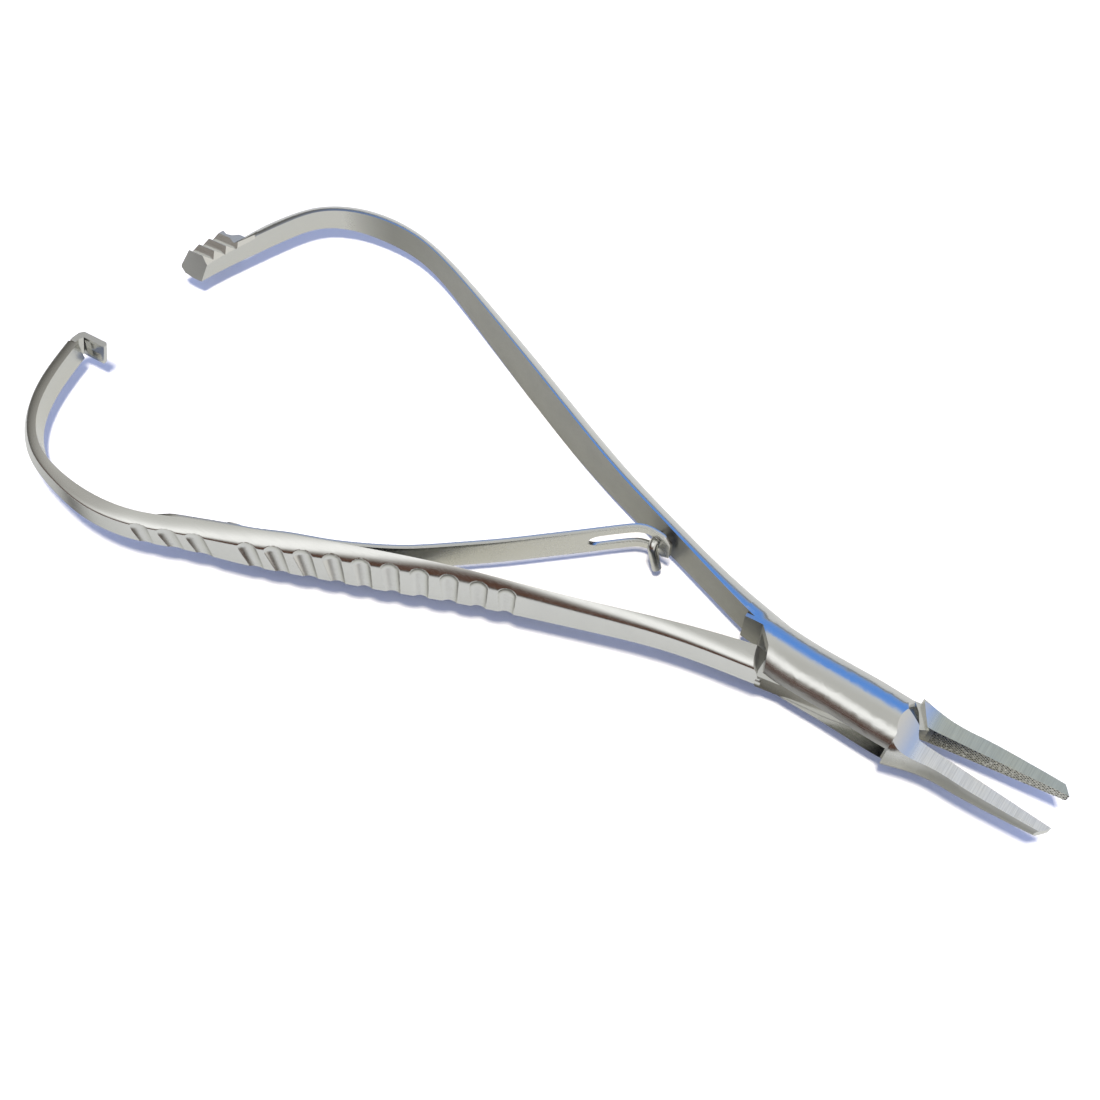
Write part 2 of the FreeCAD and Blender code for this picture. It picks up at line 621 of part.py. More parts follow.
path = [spring_curve.value(
    spring_curve.FirstParameter
    + (spring_curve.LastParameter - spring_curve.FirstParameter) * k / FINE)
    for k in range(FINE + 1)]
path += [FreeCAD.Vector(x, y, 0) for x, y in LEAF_TIP]
for k, p in enumerate(path):
    a = path[max(k - 1, 0)]
    b = path[min(k + 1, len(path) - 1)]
    d = b - a
    n = FreeCAD.Vector(-d.y, d.x, 0)
    n.normalize()
    rim_a.append(p + n * half_leaf)
    rim_b.append(p - n * half_leaf)
leaf = doc.addObject("PartDesign::Body", "LeafSpring")
leaf.Label = "leaf_spring"
plan = sketch_on(leaf, "LeafPlan", plan_place())
for rim in (rim_a, rim_b):
    edge = Part.BSplineCurve()
    edge.interpolate([FreeCAD.Vector(p.x, p.y, 0) for p in rim])
    plan.addGeometry(edge, False)
plan.addGeometry(Part.LineSegment(rim_a[0], rim_b[0]), False)
plan.addGeometry(Part.LineSegment(rim_a[-1], rim_b[-1]), False)
pad = leaf.newObject("PartDesign::Pad", "LeafPad")
pad.Profile = plan
pad.Length = val["leaf_height"]
pad.SideType = "Symmetric"
doc.recompute()
side_turn = FreeCAD.Rotation(
    FreeCAD.Vector(1, 0, 0), FreeCAD.Vector(0, 0, 1), FreeCAD.Vector(0, -1, 0), "ZXY")
side_place = FreeCAD.Placement(FreeCAD.Vector(0, 0, mid), side_turn)
edge_half = val["leaf_height"] / 2
tip_half = val["leaf_tip_height"] / 2
for word, sign in (("Upper", 1), ("Lower", -1)):
    trim = sketch_on(leaf, "Leaf%sTaper" % word, side_place)
    polygon(trim, [(-33.2, sign * (edge_half + 3)), (-33.2, sign * (edge_half + 0.02)),
                   (-28.6, sign * tip_half), (-27.9, sign * (tip_half - 0.5)),
                   (-25, sign * (tip_half - 3)), (-25, sign * (edge_half + 3))])
    pocket(leaf, "Leaf%sTrim" % word, trim, 30)
    trim = sketch_on(leaf, "Leaf%sHeel" % word, side_place)
    polygon(trim, [(-95, sign * (edge_half + 3)), (-95, sign * 0.3), (-87.4, sign * 1.2),
                   (-84.8, sign * 0.84 * edge_half), (-76.0, sign * edge_half),
                   (-76.0, sign * (edge_half + 3))])
    pocket(leaf, "Leaf%sHeelTrim" % word, trim, 100)
window = sketch_on(leaf, "Window", side_place)
r = val["slot_height"] / 2
window.addGeometry(Part.Arc(
    FreeCAD.Vector(-36.2, r, 0), FreeCAD.Vector(-36.2 - r, 0, 0),
    FreeCAD.Vector(-36.2, -r, 0)), False)
window.addGeometry(Part.Arc(
    FreeCAD.Vector(-29.6, -r, 0), FreeCAD.Vector(-29.6 + 0.55, 0, 0),
    FreeCAD.Vector(-29.6, r, 0)), False)
window.addGeometry(Part.LineSegment(FreeCAD.Vector(-36.2, -r, 0), FreeCAD.Vector(-29.6, -r, 0)), False)
window.addGeometry(Part.LineSegment(FreeCAD.Vector(-29.6, r, 0), FreeCAD.Vector(-36.2, r, 0)), False)
pocket(leaf, "WindowCut", window, 60)
seat = sketch_on(leaf, "LeafRivetHole", FreeCAD.Placement(rivet_place.Base, rivet_turn))
seat.addGeometry(Part.Circle(
    FreeCAD.Vector(0, 0, 0), FreeCAD.Vector(0, 0, 1),
    (val["rivet_diameter"] - val["rivet_press"]) / 2), False)
pocket(leaf, "LeafRivetHoleCut", seat)

print("pins")
pin = doc.addObject("Part::Cylinder", "Pivot")
pin.Label = "pivot_pin"
pin.setExpression("Radius", "Sizes.pin_diameter / 2")
pin.setExpression("Height", "Sizes.box_half_height * 5")
pin.Placement = FreeCAD.Placement(
    FreeCAD.Vector(0, 0, mid - 2.5 * val["box_half_height"]), FreeCAD.Rotation())
doc.recompute()
trimmed = pin.Shape.common(doc.getObject("BoxLoft").Shape)
pivot = doc.addObject("Part::Feature", "PivotPin")
pivot.Shape = trimmed
pivot.Label = "pivot_pin"
pin.Label = "pivot_stock"

rivet = doc.addObject("Part::Feature", "SpringRivet")
rivet.Label = "spring_rivet"
axis = rivet_place.Rotation.multVec(FreeCAD.Vector(1, 0, 0))
start = rivet_place.Base - axis * (val["leaf_thickness"] + val["leaf_seat_gap"] + 0.35)
shaft = Part.makeCylinder(val["rivet_diameter"] / 2, 8.0, start, axis)
pawl_loft = doc.getObject("PawlLoft")
inside = shaft.common(pawl_loft.Shape)
inner = Part.makeCylinder(
    val["rivet_diameter"] / 2, val["leaf_thickness"] + 1.0, start, axis)
dome = Part.makeCylinder(val["rivet_diameter"] / 2 + 0.5, 0.34, start, axis)
rivet.Shape = inside.fuse([inner, dome]).removeSplitter()

hook = doc.addObject("Part::Feature", "SpringHook")
hook.Label = "spring_hook"
n = hook_place.Rotation.multVec(FreeCAD.Vector(1, 0, 0))
foot = hook_place.Base + n * 1.45
knee = FreeCAD.Vector(-30.05, 4.88, mid + 0.1)
toe = FreeCAD.Vector(-28.3, 3.8, 1.45)
reach = 0.95
a = knee + (foot - knee).normalize() * reach
b = knee + (toe - knee).normalize() * reach
m = knee + ((a - knee) + (b - knee)) * 0.27
hook_path = Part.Wire([
    Part.LineSegment(foot, a).toShape(), Part.Arc(a, m, b).toShape(),
    Part.LineSegment(b, toe).toShape()])
ring = Part.Wire([Part.makeCircle(val["hook_diameter"] / 2, foot, a - foot)])
hook.Shape = hook_path.makePipeShell([ring], True, False)
doc.recompute()

PIECES = [(ratchet, "ratchet_half"), (pawl, "pawl_half"), (pivot, "pivot_pin"),
          (leaf, "leaf_spring"), (rivet, "spring_rivet"), (hook, "spring_hook")]
for obj in doc.Objects:
    bad = [s for s in obj.State if s in ("Invalid", "Error")]
    if bad:
        raise RuntimeError("%s: %s" % (obj.Name, bad))
os.makedirs("parts", exist_ok=True)
for obj, name in PIECES:
    shape = obj.Shape
    if shape.isNull() or not shape.isValid():
        raise RuntimeError("%s is not valid" % name)
    b = shape.BoundBox
    print(name, "solids", len(shape.Solids), "volume", round(shape.Volume, 1),
          "x %.2f %.2f y %.2f %.2f z %.2f %.2f" % (b.XMin, b.XMax, b.YMin, b.YMax, b.ZMin, b.ZMax))
    shape.exportStep("parts/%s.step" % name)
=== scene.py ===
import math
import bmesh
import bpy
import numpy as np
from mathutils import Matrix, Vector


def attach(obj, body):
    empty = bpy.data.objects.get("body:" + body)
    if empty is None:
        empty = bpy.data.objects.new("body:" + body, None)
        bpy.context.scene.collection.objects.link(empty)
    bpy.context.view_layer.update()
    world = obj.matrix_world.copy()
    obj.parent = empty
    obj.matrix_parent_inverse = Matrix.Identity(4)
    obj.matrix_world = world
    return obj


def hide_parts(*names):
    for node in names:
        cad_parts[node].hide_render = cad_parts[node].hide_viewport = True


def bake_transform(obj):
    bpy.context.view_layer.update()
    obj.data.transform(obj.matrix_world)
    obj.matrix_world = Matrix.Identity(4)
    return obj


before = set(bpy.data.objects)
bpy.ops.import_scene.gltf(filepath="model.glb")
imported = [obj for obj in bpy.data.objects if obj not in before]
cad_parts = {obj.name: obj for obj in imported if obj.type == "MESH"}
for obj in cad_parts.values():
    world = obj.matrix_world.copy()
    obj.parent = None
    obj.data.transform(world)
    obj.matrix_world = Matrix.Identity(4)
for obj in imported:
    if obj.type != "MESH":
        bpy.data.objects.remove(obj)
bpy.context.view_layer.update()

mm = 0.001
midHeight = 4.65                     # mm, the middle plane of the instrument above the table
flutedSide = (0.357, -0.934, 0)      # outwards from the fluted handle, level and square to it


def srgb(text):
    # sRGB hex to linear: below 0.04045 divided by 12.92, above ((c + 0.055) / 1.055) ** 2.4
    values = [int(text[i:i + 2], 16) / 255 for i in (1, 3, 5)]
    return [c / 12.92 if c <= 0.04045 else ((c + 0.055) / 1.055) ** 2.4 for c in values] + [1.0]


def addNode(tree, kind, links=None, **settings):
    # adds one node: settings are its properties or its inputs by name, links feed its inputs
    node = tree.nodes.new(kind)
    for key, value in settings.items():
        if hasattr(node, key):
            setattr(node, key, value)
        else:
            node.inputs[key.replace("_", " ")].default_value = value
    for key, socket in (links or {}).items():
        tree.links.new(socket, node.inputs[key])
    return node


def mapRange(tree, socket, source, target=(0.0, 1.0)):
    # the value at socket, carried from the source range to the target range and held there
    node = addNode(
        tree, "ShaderNodeMapRange", {"Value": socket},
        From_Min=source[0], From_Max=source[1], To_Min=target[0], To_Max=target[1])
    return node.outputs[0]


def fillRamp(node, stops, low, high):
    # colour stops (place, hex) of a ramp that runs from low to high
    elements = node.color_ramp.elements
    while len(elements) < len(stops):
        elements.new(0.5)
    for element, (place, tone) in zip(elements, stops):
        element.position = (place - low) / (high - low)
        element.color = srgb(tone)


def smoothSpline(points, count):
    # natural cubic through the points over chord length, sampled evenly: second derivatives m solve
    # h0 m0 + 2 (h0 + h1) m1 + h1 m2 = 6 (slope1 - slope0)
    p = np.array(points, float)
    t = np.concatenate([[0], np.cumsum(np.linalg.norm(np.diff(p, axis=0), axis=1))])
    h = np.diff(t)
    size = len(t)
    a = np.eye(size)
    b = np.zeros((size, p.shape[1]))
    inner = np.arange(1, size - 1)
    a[inner, inner - 1] = h[:-1]
    a[inner, inner] = 2 * (h[:-1] + h[1:])
    a[inner, inner + 1] = h[1:]
    slope = np.diff(p, axis=0) / h[:, None]
    b[1:-1] = 6 * np.diff(slope, axis=0)
    m = np.linalg.solve(a, b)
    s = np.linspace(0, t[-1], count)
    k = np.clip(np.searchsorted(t, s) - 1, 0, size - 2)
    d0 = (t[k + 1] - s)[:, None]
    d1 = (s - t[k])[:, None]
    hk = h[k][:, None]
    return (m[k] * d0 ** 3 + m[k + 1] * d1 ** 3) / (6 * hk) \
        + (p[k] / hk - m[k] * hk / 6) * d0 + (p[k + 1] / hk - m[k + 1] * hk / 6) * d1


def gridFaces(rows, columns, first=0):
    # quads of a grid whose points are numbered row by row
    r, c = np.meshgrid(np.arange(rows - 1), np.arange(columns - 1), indexing="ij")
    a = (first + r * columns + c).ravel()
    return np.stack([a, a + 1, a + columns + 1, a + columns], 1)


def makePiece(name, points, faces, material, merge=None):
    mesh = bpy.data.meshes.new(name)
    mesh.from_pydata(np.asarray(points, float).reshape(-1, 3).tolist(), [], np.asarray(faces).tolist())
    if merge:
        work = bmesh.new()
        work.from_mesh(mesh)
        bmesh.ops.remove_doubles(work, verts=work.verts, dist=merge)
        bmesh.ops.recalc_face_normals(work, faces=work.faces)
        work.to_mesh(mesh)
        work.free()
    mesh.materials.append(material)
    piece = bpy.data.objects.new(name, mesh)
    bpy.context.scene.collection.objects.link(piece)
    return piece


def settle(piece):
    # turns live modifiers into plain mesh
    graph = bpy.context.evaluated_depsgraph_get()
    mesh = bpy.data.meshes.new_from_object(piece.evaluated_get(graph))
    piece.modifiers.clear()
    piece.data = mesh


def cutAway(work, place, outwards):
    # takes off what lies beyond the plane through place
    bmesh.ops.bisect_plane(
        work, geom=work.verts[:] + work.edges[:] + work.faces[:], plane_co=place, plane_no=outwards,
        clear_outer=True)


def closeHoles(work):
    bmesh.ops.holes_fill(work, edges=[e for e in work.edges if e.is_boundary])


def smoothFaces(work, crease):
    # smooth shading that breaks at the edges of crease degrees and more
    for edge in work.edges:
        edge.smooth = len(edge.link_faces) == 2 and edge.calc_face_angle(math.pi) < math.radians(crease)
    for face in work.faces:
        face.smooth = True


# Camera, from the photograph: 40.3 degrees wide, no roll, 182 mm above the table.
view = dict(
    place=(10.0 * mm, -78.7 * mm, 182.3 * mm),
    heading=-33.99,      # degrees from +Y, turned about Z
    elevation=62.89,     # degrees the camera looks down
    focal=1500.0,        # pixels
    frame=1100.0,        # pixels, the side of the image
    sensor=36.0,         # mm
    nearest=5.0,         # mm, where the view begins
)


def makeCamera(v):
    data = bpy.data.cameras.new("camera")
    data.sensor_width = v["sensor"]
    data.lens = v["sensor"] * v["focal"] / v["frame"]
    data.clip_start = v["nearest"] * mm
    camera = bpy.data.objects.new("camera", data)
    camera.location = v["place"]
    camera.rotation_euler = (math.radians(90 - v["elevation"]), 0, math.radians(-v["heading"]))
    bpy.context.scene.collection.objects.link(camera)
    bpy.context.scene.camera = camera
    print("camera ready")


makeCamera(view)

# Stainless steel for forged instruments: ground, then polished on a cloth wheel. The barrels mirror
# the room with soft streaks along their length; the inner flats keep a finer satin, and their darker grey is
# painted shade.
forged = dict(
    tone="#CCCCC8", satinPaintedShadeTone="#8F8F8A", polishedRoughness=0.19, satinRoughness=0.36,
    turn=0,                                  # degrees about Z, the way of the streaks
    streakLength=7.0, streakWidth=0.16,      # mm, polishing lines; wider than the real grit, to show
    streakBump=0.0012, streakStrength=0.35,  # mm, depth of the polishing lines, and its share
    cloudSize=4.0,                           # mm, uneven polish
    noiseRange=(0.3, 0.7),                   # the noise mostly lies in here, and adds to the roughness:
    streakRoughness=(-0.03, 0.05), cloudRoughness=(-0.02, 0.03),
    # how squarely a face looks the satin side's way, from where it is polished to where it is satin, and
    # where its tone turns to the painted shade
    satinFacing=(0.55, 0.8), toneFacing=(0.6, 0.85),
    jawFrom=11.6, jawTo=13.2,                # mm along X, where the flats of the jaws fade in
    markWidth=0.14, markLength=5.0,          # mm, grinding marks across the jaws
    markRange=(0.35, 0.65), markTone=(0.87, 1.06),
    levelFacing=(0.9, 0.98), jawRoughness=0.12,      # only level faces are flats, and duller
)


def jawFlats(tree, coords, s, paintedJawTone):
    # the flats ground on the jaws: their share at a point, and their tone under fine marks across; that tone
    # is painted, lighter on the ratchet jaw and darker on the pawl jaw
    axes = addNode(tree, "ShaderNodeSeparateXYZ", {0: coords.outputs["Object"]})
    up = addNode(tree, "ShaderNodeSeparateXYZ", {0: coords.outputs["Normal"]})
    inJaw = mapRange(tree, axes.outputs["X"], (s["jawFrom"] * mm, s["jawTo"] * mm))
    level = mapRange(tree, up.outputs["Z"], s["levelFacing"])
    flatJaw = addNode(tree, "ShaderNodeMath", {0: inJaw, 1: level}, operation="MULTIPLY")
    length = 1 / (s["markLength"] * mm)
    across = addNode(
        tree, "ShaderNodeMapping", {"Vector": coords.outputs["Object"]},
        Scale=(1 / (s["markWidth"] * mm), length, length))
    marks = addNode(
        tree, "ShaderNodeTexNoise", {"Vector": across.outputs["Vector"]}, Scale=1.0, Detail=3.0)
    ground = mapRange(tree, marks.outputs["Fac"], s["markRange"], s["markTone"])
    jaw = addNode(tree, "ShaderNodeVectorMath", operation="SCALE")
    jaw.inputs[0].default_value = srgb(paintedJawTone)[:3]
    tree.links.new(ground, jaw.inputs["Scale"])
    return flatJaw.outputs[0], jaw.outputs["Vector"]


def makeSteel(name, s, satinSide=None, paintedJawTone=None):
    # satinSide is the way that the satin inner flat of a half faces
    material = bpy.data.materials.new(name)
    material.use_nodes = True
    tree = material.node_tree
    shader = tree.nodes["Principled BSDF"]
    shader.inputs["Metallic"].default_value = 1.0
    coords = addNode(tree, "ShaderNodeTexCoord")
    width = 1 / (s["streakWidth"] * mm)
    stretch = addNode(
        tree, "ShaderNodeMapping", {"Vector": coords.outputs["Object"]},
        Scale=(1 / (s["streakLength"] * mm), width, width), Rotation=(0, 0, math.radians(s["turn"])))
    streaks = addNode(
        tree, "ShaderNodeTexNoise", {"Vector": stretch.outputs["Vector"]}, Scale=1.0, Detail=3.0)
    clouds = addNode(
        tree, "ShaderNodeTexNoise", {"Vector": coords.outputs["Object"]},
        Scale=1 / (s["cloudSize"] * mm), Detail=2.0)
    spread = mapRange(tree, streaks.outputs["Fac"], s["noiseRange"], s["streakRoughness"])
    drift = mapRange(tree, clouds.outputs["Fac"], s["noiseRange"], s["cloudRoughness"])
    both = addNode(tree, "ShaderNodeMath", {0: spread, 1: drift}, operation="ADD")
    if satinSide:
        facing = addNode(
            tree, "ShaderNodeVectorMath", {0: coords.outputs["Normal"]}, operation="DOT_PRODUCT")
        facing.inputs[1].default_value = satinSide
        flat = mapRange(
            tree, facing.outputs["Value"], s["satinFacing"], (s["polishedRoughness"], s["satinRoughness"]))
        # a face turned the satin side's way takes the darker satin tone: painted shade for the shaded table
        # it mirrors
        share = mapRange(tree, facing.outputs["Value"], s["toneFacing"])
        tone = addNode(tree, "ShaderNodeMix", {"Factor": share}, data_type="RGBA")
        tone.inputs["A"].default_value = srgb(s["tone"])
        tone.inputs["B"].default_value = srgb(s["satinPaintedShadeTone"])
        flatJaw, jaw = jawFlats(tree, coords, s, paintedJawTone)
        whole = addNode(tree, "ShaderNodeMix", {"Factor": flatJaw}, data_type="RGBA")
        tree.links.new(tone.outputs["Result"], whole.inputs["A"])
        tree.links.new(jaw, whole.inputs["B"])
        tree.links.new(whole.outputs["Result"], shader.inputs["Base Color"])
        rougher = addNode(tree, "ShaderNodeMath", {0: flatJaw}, operation="MULTIPLY")
        rougher.inputs[1].default_value = s["jawRoughness"]
        base = addNode(tree, "ShaderNodeMath", {0: flat, 1: rougher.outputs[0]}, operation="ADD")
        total = addNode(tree, "ShaderNodeMath", {0: both.outputs[0], 1: base.outputs[0]}, operation="ADD")
    else:
        shader.inputs["Base Color"].default_value = srgb(s["tone"])
        total = addNode(tree, "ShaderNodeMath", {0: both.outputs[0]}, operation="ADD")
        total.inputs[1].default_value = s["polishedRoughness"]
    tree.links.new(total.outputs[0], shader.inputs["Roughness"])
    bump = addNode(
        tree, "ShaderNodeBump", {"Height": streaks.outputs["Fac"]},
        Strength=s["streakStrength"], Distance=s["streakBump"] * mm)
    tree.links.new(bump.outputs["Normal"], shader.inputs["Normal"])
    return material


# each half's last tone is its jaw flats' tone: painted light on the ratchet jaw, painted shade on the pawl
# jaw
ratchetSteel = makeSteel("polishedForgedSteelRatchet", dict(forged, turn=20), (-0.45, -0.89, 0), "#E6E3DA")
pawlSteel = makeSteel("polishedForgedSteelPawl", dict(forged, turn=-20), (-0.36, 0.93, 0), "#BDBFB0")
# pins ground bright after riveting; the leaf a touch duller with finer lines; the hook drawn and bright
pinSteel = makeSteel("groundPinSteel", dict(forged, polishedRoughness=0.2))
springSteel = makeSteel("satinSpringSteel", dict(forged, polishedRoughness=0.24, streakWidth=0.12))
wireSteel = makeSteel("drawnWireSteel", dict(forged, polishedRoughness=0.18))


def makeGripSteel(s):
    # chisel-cut teeth: painted shade between them, with specks of painted glint where their points catch the
    # light
    material = bpy.data.materials.new("crossCutGripSteel")
    material.use_nodes = True
    tree = material.node_tree
    shader = tree.nodes["Principled BSDF"]
    shader.inputs["Metallic"].default_value = 1.0
    shader.inputs["Roughness"].default_value = s["roughness"]
    coords = addNode(tree, "ShaderNodeTexCoord")
    paintedGlints = addNode(
        tree, "ShaderNodeTexNoise", {"Vector": coords.outputs["Object"]},
        Scale=1 / (s["glintSize"] * mm), Detail=1.0)
    # painted shade and painted glints, picked by the noise
    ramp = addNode(tree, "ShaderNodeValToRGB", {"Fac": paintedGlints.outputs["Fac"]})
    fillRamp(ramp, s["tones"], 0, 1)
    tree.links.new(ramp.outputs["Color"], shader.inputs["Base Color"])
    return material


# tones by the noise's height, painted shade below and painted glints above; the size of a glint speck in mm
gripSteel = makeGripSteel(dict(tones=[(0.5, "#383733"), (0.68, "#E8E6E1")], roughness=0.3, glintSize=0.4))

# Both halves: the bar of each handle is a ground profile carried along its inner face line, in the
# pawl half cut across by ball-ended flutes; tail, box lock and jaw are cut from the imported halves.
# Lengths in mm; faceAt and depthAt give the inner face's height and the bar's depth along X.
bars = dict(
    merge=0.0005, join=0.002,      # points nearer than this become one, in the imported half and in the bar
    crease=24.0,                   # degrees
    samples=4000, step=0.45, fluteStep=0.085, frontRows=60,        # along the bar
    around=30, facetRows=25, faceRows=7,                           # around it
    leastTop=0.3,                  # the dome keeps at least this share of the depth
    domeArms=(0.5, 0.42),          # reach of the cubic's arms towards the apex, at the edge and at the facet
    tailPast=-90.0,                # the tail's copy ends here at the latest
    faceAt=[(-113, 3.7), (-104, 3.7), (-101, 3.8), (-97, 4.3), (-90, 5.32), (-82, 5.89),
            (-74, 7.505), (-67, 8.645), (-57, 9.5), (-50, 9.5), (-43, 8.74), (-36, 7.6),
            (-28, 6.864), (-20, 6.3), (0, 6.3)],
)
# line is the inner face from tail to box; the bar runs from its point number tail to x = front, and
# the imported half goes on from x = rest; ridge scales the depth, crown flattens the dome's start
ratchetBar = dict(
    side=1, body="ratchet_side", node="ratchet_half", tail=3, front=-14.6, rest=-14.6, shoulder=(),
    line=[(-109.1, 5.6), (-107.9, 8.9), (-106.5, 12.2), (-105.1, 15.3), (-103.2, 19.3), (-100.6, 23.3),
          (-96.7, 25.85), (-91.5, 27.2), (-85.2, 27.35), (-78.8, 25.75), (-72.0, 23.1), (-63.5, 19.55),
          (-54.6, 15.85), (-45.8, 12.35), (-37.0, 9.3), (-29.0, 6.95), (-21.0, 4.5), (-15.0, 2.7),
          (-9.5, 1.35), (-5.0, 0.7)],
    depthAt=[(-109, 2.0), (-106.6, 1.9), (-105, 2.4), (-104, 2.55), (-100, 2.35), (-93, 2.5), (-89, 2.325),
             (-85, 2.08), (-80, 2.044), (-73.5, 2.3), (-66, 2.59), (-58.8, 2.85), (-51, 2.91), (-40, 2.88),
             (-32.5, 2.65), (-25, 2.703), (-21, 2.889), (-17, 3.08), (-13.3, 3.619), (-9.5, 3.735),
             (-5.5, 3.504), (0, 3.273)],
    ridge=0.93, crown=0.04, facetLean=12.0, facetAt=[(-109, 0.1), (-12, 0.1)],
    flutes=[],
)
pawlBar = dict(
    side=-1, body="pawl_side", node="pawl_half", tail=0, front=-9.0, rest=-9.6,
    # slanting shoulders above and below: their way, half the tongue between them, their normal (x, z)
    shoulder=(1, -1), tongueHalf=1.69, shoulderNormal=(0.67, 0.742),
    line=[(-114.2, -14.2), (-113.7, -18.0), (-112.7, -22.3), (-110.6, -26.6), (-107.2, -29.6),
          (-102.2, -31.1), (-95.8, -31.45), (-89.4, -30.4), (-82.5, -27.5), (-74.5, -24.35),
          (-66.0, -20.9), (-57.0, -17.4), (-48.0, -13.95), (-39.0, -10.75), (-30.3, -7.6),
          (-21.8, -4.5), (-15.0, -2.35), (-9.5, -0.9), (-4.5, 0.2)],
    depthAt=[(-114, 2.5), (-112.8, 2.45), (-111, 2.194), (-108.5, 2.009), (-105, 2.05), (-101, 2.296),
             (-97, 2.747), (-93, 2.92), (-85, 3.103), (-78, 3.468), (-74, 3.65), (-63, 3.614), (-59, 3.51),
             (-52, 3.15), (-44.5, 2.85), (-37, 2.65), (-29, 2.65), (-22, 2.889), (-18, 3.196),
             (-10.4, 3.85), (0, 4.043)],
    # the ground facet: degrees from upright, and its height as a share of the half face along X
    ridge=1.0, crown=0.16, facetLean=26.0,
    facetAt=[(-114, 0.66), (-100, 0.78), (-88, 0.76), (-73, 0.70), (-50, 0.66), (-12, 0.62)],
    # each flute: x where it crosses the facet, slant to the section plane, depth
    flutes=[(-87.8, 0.60, 0.17), (-84.4, 0.58, 0.17), (-80.7, 0.56, 0.18), (-73.6, 0.50, 0.24),
            (-70.2, 0.43, 0.28), (-66.6, 0.36, 0.32), (-63.0, 0.28, 0.36), (-59.4, 0.21, 0.38),
            (-55.8, 0.17, 0.38), (-52.3, 0.12, 0.38), (-48.6, 0.08, 0.38), (-44.9, 0.06, 0.38),
            (-41.4, 0.04, 0.38)],
    fluteFrom=-90.5, fluteTo=-39.5,      # the stretch with close rows
    fluteTail=-95.0,                     # the tail's bend, past which no flute is sought
    fluteHalf=1.14, fluteLean=29.5,      # half width, degrees of a flute's floor from upright
    # the ball's centre starts so many half facets up from the facet's middle, then so far down again
    fluteReach=1.5, fluteRun=1.05,
    fluteDeepest=1.2,                    # no point moves further
)


def cutFlutes(points, path, out, corner, d, tall, b):
    # a flute is a cylinder with a ball end. With w the way from the ball's centre to a point and n the
    # way inwards, the point moves by m n, m the larger root of |w + m n| ^ 2 = cutter ^ 2; past the
    # ball, w and n lose their part along the cylinder
    inward = np.stack([-out[:, 0], -out[:, 1], np.zeros(len(out))], 1)[:, None, :]
    lean = math.radians(b["fluteLean"])
    for x0, slant, deep in b["flutes"]:
        n = np.argmin(np.where(path[:, 0] < b["fluteTail"], np.inf, np.abs(path[:, 0] - x0)))
        o = np.array([out[n, 0], out[n, 1], 0.0])
        t = np.array([abs(o[1]), -abs(o[0]) * np.sign(o[0] * o[1]), 0.0])  # forwards, square to o
        # cutter radius from the flute's half width w and depth t: (w ** 2 + t ** 2) / (2 t)
        cutter = (b["fluteHalf"] ** 2 + deep ** 2) / (2 * deep)
        proud = cutter - deep
        foot = np.array([path[n, 0], path[n, 1], midHeight])
        for sign in (1, -1):
            up = np.array([0, 0, sign])
            down = o * np.sin(lean) - up * np.cos(lean) + t * slant
            down /= np.linalg.norm(down)
            middle = foot + o * (corner[n, 0] + d[n]) / 2 + up * tall[n] / 2
            start = middle - down * tall[n] * b["fluteReach"] / (2 * abs(down[2]))
            start = start + (o * np.cos(lean) + up * np.sin(lean)) * proud + down * b["fluteRun"]
            w = points - start
            axial = w @ down
            n0 = np.broadcast_to(inward, points.shape)
            beyond = axial > 0
            wFlat = np.where(beyond[..., None], w - axial[..., None] * down, w)
            nFlat = np.where(beyond[..., None], n0 - (n0 @ down)[..., None] * down, n0)
            nn = (nFlat ** 2).sum(-1)
            wn = (wFlat * nFlat).sum(-1)
            inside = (wFlat ** 2).sum(-1) - cutter ** 2
            root = np.sqrt(np.maximum(wn ** 2 - nn * inside, 0))
            move = np.where(inside < 0, (-wn + root) / np.maximum(nn, 1e-9), 0)
            own = sign * (points[..., 2] - midHeight) > -1e-6  # each cutter keeps to its own half
            points = points + n0 * (np.clip(move, 0, b["fluteDeepest"]) * own)[..., None]
    return points


